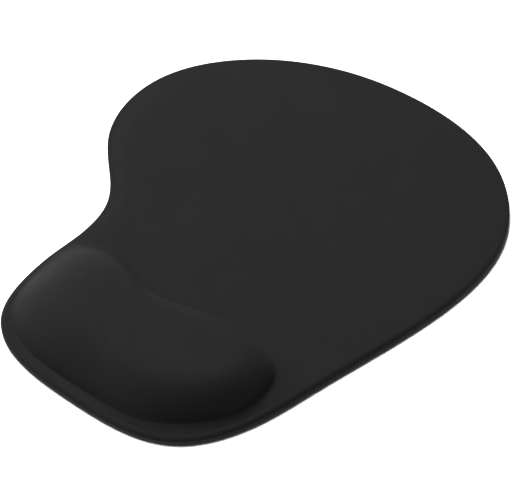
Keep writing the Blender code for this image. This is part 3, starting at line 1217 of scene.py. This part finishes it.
@dataclass
class GripBase:
    """The rubber underside: a flat sheet with a net of diamond ribs that stand on the desk.

    Args:
        edge: The mat's edge.
        thickness: The sheet's thickness.
        cell: Distance between ribs.
        rib: Width of a rib.
        relief: Depth of the cells between the ribs.
        margin: Width of the plain band round the net.
        corner: Rounding of its two edges.
    """

    edge: ClosedLine
    thickness: float
    cell: float = 4.0 * MM
    rib: float = 0.9 * MM
    relief: float = 0.2 * MM
    margin: float = 3.0 * MM
    corner: float = 0.15 * MM

    RIM_POINTS = 360
    WHOLE_SHARE = 0.98
    ROUND_SHARE = 0.3

    def net(self, mesh: BMesh) -> None:
        """Make the net: a flat face cut along both diagonals, with every whole cell pressed in."""
        rim = self.edge.beside(np.arange(self.RIM_POINTS) / self.RIM_POINTS, self.margin)
        made = bmesh.ops.create_circle(mesh, cap_ends=True, segments=self.RIM_POINTS, radius=1.0)["verts"]
        for vert, place in zip(made, rim):
            vert.co = (*place, 0.0)
        cells = int(np.linalg.norm(np.ptp(rim, axis=0)) / 2 / self.cell)
        for slope in (1.0, -1.0):
            across = Vector((1.0, slope, 0.0)).normalized()
            for step in range(-cells, cells + 1):
                parts = mesh.verts[:] + mesh.edges[:] + mesh.faces[:]
                cut = across * (step * self.cell)
                bmesh.ops.bisect_plane(mesh, geom=parts, dist=SAME_POINT, plane_co=cut, plane_no=across)
        for face in mesh.faces:
            if face.normal.z > 0.0:
                face.normal_flip()
        whole = [face for face in mesh.faces if self.is_whole(face)]
        bmesh.ops.inset_individual(mesh, faces=whole, thickness=self.rib / 2, use_even_offset=True)
        bmesh.ops.inset_individual(
            mesh, faces=whole, thickness=self.relief, depth=-self.relief, use_even_offset=True
        )

    def is_whole(self, face: BMFace) -> bool:
        """Return whether a face of the net is a whole cell, with no corner cut off by the rim."""
        return len(face.verts) == 4 and face.calc_area() > self.WHOLE_SHARE * self.cell**2

    def side(self, mesh: BMesh) -> None:
        """Carry the net's rim out to the mat's edge, up its side and over the top."""
        rim = open_rim(mesh)
        corner, part, top = self.corner, self.ROUND_SHARE * self.corner, self.thickness
        lower = [(corner, 0.0), (part, part), (0.0, corner)]
        for inset, height in lower + [(inset, top - height) for inset, height in lower[::-1]]:
            made = bmesh.ops.extrude_edge_only(mesh, edges=rim)["geom"]
            rim = [part for part in made if isinstance(part, BMEdge)]
            ends = [part for part in made if isinstance(part, BMVert)]
            _, shares = self.edge.nearest(np.array([vert.co.xy for vert in ends]))
            for vert, place in zip(ends, self.edge.beside(shares, inset)):
                vert.co = (*place, height)
        bmesh.ops.contextual_create(mesh, geom=rim)

    def build(self) -> Object:
        """Build the underside."""
        mesh = bmesh.new()
        self.net(mesh)
        self.side(mesh)
        bmesh.ops.remove_doubles(mesh, verts=mesh.verts, dist=SAME_POINT)
        piece = new_piece("grip_base", mesh, MouldedGripRubber().material())
        piece.data.set_sharp_from_angle(angle=CREASE_ANGLE)
        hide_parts("non_slip_base")
        return piece


# ---- Studio ----


@dataclass(frozen=True)
class SoftLight:
    """A square soft light that faces the mat.

    Args:
        name: Its name.
        place: Its place.
        side: Length of its sides.
        watts: Its power.
    """

    name: str
    place: tuple[float, float, float]
    side: float
    watts: float

    def hang(self) -> None:
        """Hang the light."""
        data = bpy.data.lights.new(self.name, "AREA")
        data.shape = "SQUARE"
        data.size = self.side
        data.energy = self.watts
        light = bpy.data.objects.new(self.name, data)
        light.location = self.place
        light.rotation_euler = (-Vector(self.place)).to_track_quat("-Z", "Y").to_euler()
        bpy.context.scene.collection.objects.link(light)


@dataclass
class Studio:
    """The camera, the pale floor and the soft lights.

    Args:
        camera_place: Where the camera stands.
        camera_tilt: Its turn about X from straight down, in degrees.
        camera_turn: Its turn about Z, in degrees.
        lens: Its focal length in millimetres.
        film: Width of its film in millimetres.
        clip: Nearest and furthest distance that it sees.
        floor_drop: How far the floor lies below the mat's underside.
        floor_reach: Half the floor's width.
        floor_colour: The floor's colour.
        room: Strength of the light that the room gives from all sides.
        lights: The soft lights: a weak low one on the left and a strong high one over it.
    """

    camera_place: tuple[float, float, float] = (0.21917, -0.29037, 0.39048)
    camera_tilt: float = 42.0
    camera_turn: float = 36.5
    lens: float = 85.0
    film: float = 36.0
    clip: tuple[float, float] = (0.01, 20.0)
    floor_drop: float = 0.02 * MM
    floor_reach: float = 3.0
    floor_colour: str = "#f4f4f3"
    room: float = 0.07
    lights: tuple[SoftLight, ...] = (
        SoftLight("side_light", (-1.2, 0.05, 0.26), 0.36, 7.0),
        SoftLight("top_light", (-0.85, 0.28, 2.1), 0.9, 128.0),
    )

    def place_camera(self) -> None:
        """Stand the camera at the viewing angle."""
        data = bpy.data.cameras.new("camera")
        data.lens = self.lens
        data.sensor_width = self.film
        data.clip_start, data.clip_end = self.clip
        camera = bpy.data.objects.new("camera", data)
        camera.location = self.camera_place
        camera.rotation_euler = (math.radians(self.camera_tilt), 0.0, math.radians(self.camera_turn))
        bpy.context.scene.collection.objects.link(camera)
        bpy.context.scene.camera = camera

    def lay_floor(self) -> None:
        """Lay the pale floor."""
        mesh = bmesh.new()
        bmesh.ops.create_grid(mesh, x_segments=1, y_segments=1, size=self.floor_reach)
        bmesh.ops.translate(mesh, verts=mesh.verts, vec=(0.0, 0.0, -self.floor_drop))
        data = bpy.data.meshes.new("floor")
        mesh.to_mesh(data)
        mesh.free()
        paper = bpy.data.materials.new("pale_studio_paper")
        paper.use_nodes = True
        dull = {"Base Color": linear(self.floor_colour), "Roughness": 0.9, "Specular IOR Level": 0.1}
        feed(paper.node_tree.nodes["Principled BSDF"], dull)
        data.materials.append(paper)
        floor = bpy.data.objects.new("floor", data)
        bpy.context.scene.collection.objects.link(floor)

    def light_room(self) -> None:
        """Light the room evenly and weakly from all sides, and hang the soft lights."""
        world = bpy.data.worlds.new("soft_room")
        bpy.context.scene.world = world
        world.use_nodes = True
        feed(world.node_tree.nodes["Background"], {"Color": (1.0, 1.0, 1.0, 1.0), "Strength": self.room})
        for light in self.lights:
            light.hang()
        bpy.context.scene.view_settings.view_transform = "Standard"

    def set_up(self) -> None:
        """Set up the whole studio."""
        self.place_camera()
        self.lay_floor()
        self.light_room()


def main() -> None:
    """Build the studio and every piece in order, and report each one."""
    logging.basicConfig(level=logging.INFO, format="%(message)s")
    Studio().set_up()
    flat_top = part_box("cloth_adhesive_film")[0].z + BOND_AND_CLOTH
    edge = ClosedLine.through(level_lines("non_slip_base", 0.0)[0], EDGE_POINTS)
    foot = ClosedLine.through(level_lines("top_cloth", flat_top)[-1], FOOT_POINTS)
    plan = MatPlan(edge, RestForm(foot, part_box("top_cloth")[1].z - flat_top), flat_top)
    foam_low, foam_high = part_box("mat_foam")
    report(GelPad(plan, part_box("gel_core")[0].z).build())
    report(GripBase(edge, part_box("non_slip_base")[1].z).build())
    report(SpongeMat(plan, foam_low.z, foam_high.z).build())
    report(PouchSkin(plan).build())
    report(ClothBond(plan).build())
    report(KnitCover(plan).build())
    for node, finish in (
        ("pouch_adhesive_sheet", HOT_MELT),
        ("base_adhesive_film", HOT_MELT),
        ("gel_base_film", POUCH_FILM),
    ):
        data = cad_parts[node].data
        data.materials.clear()
        data.materials.append(finish.material())


if __name__ == "__main__":
    main()
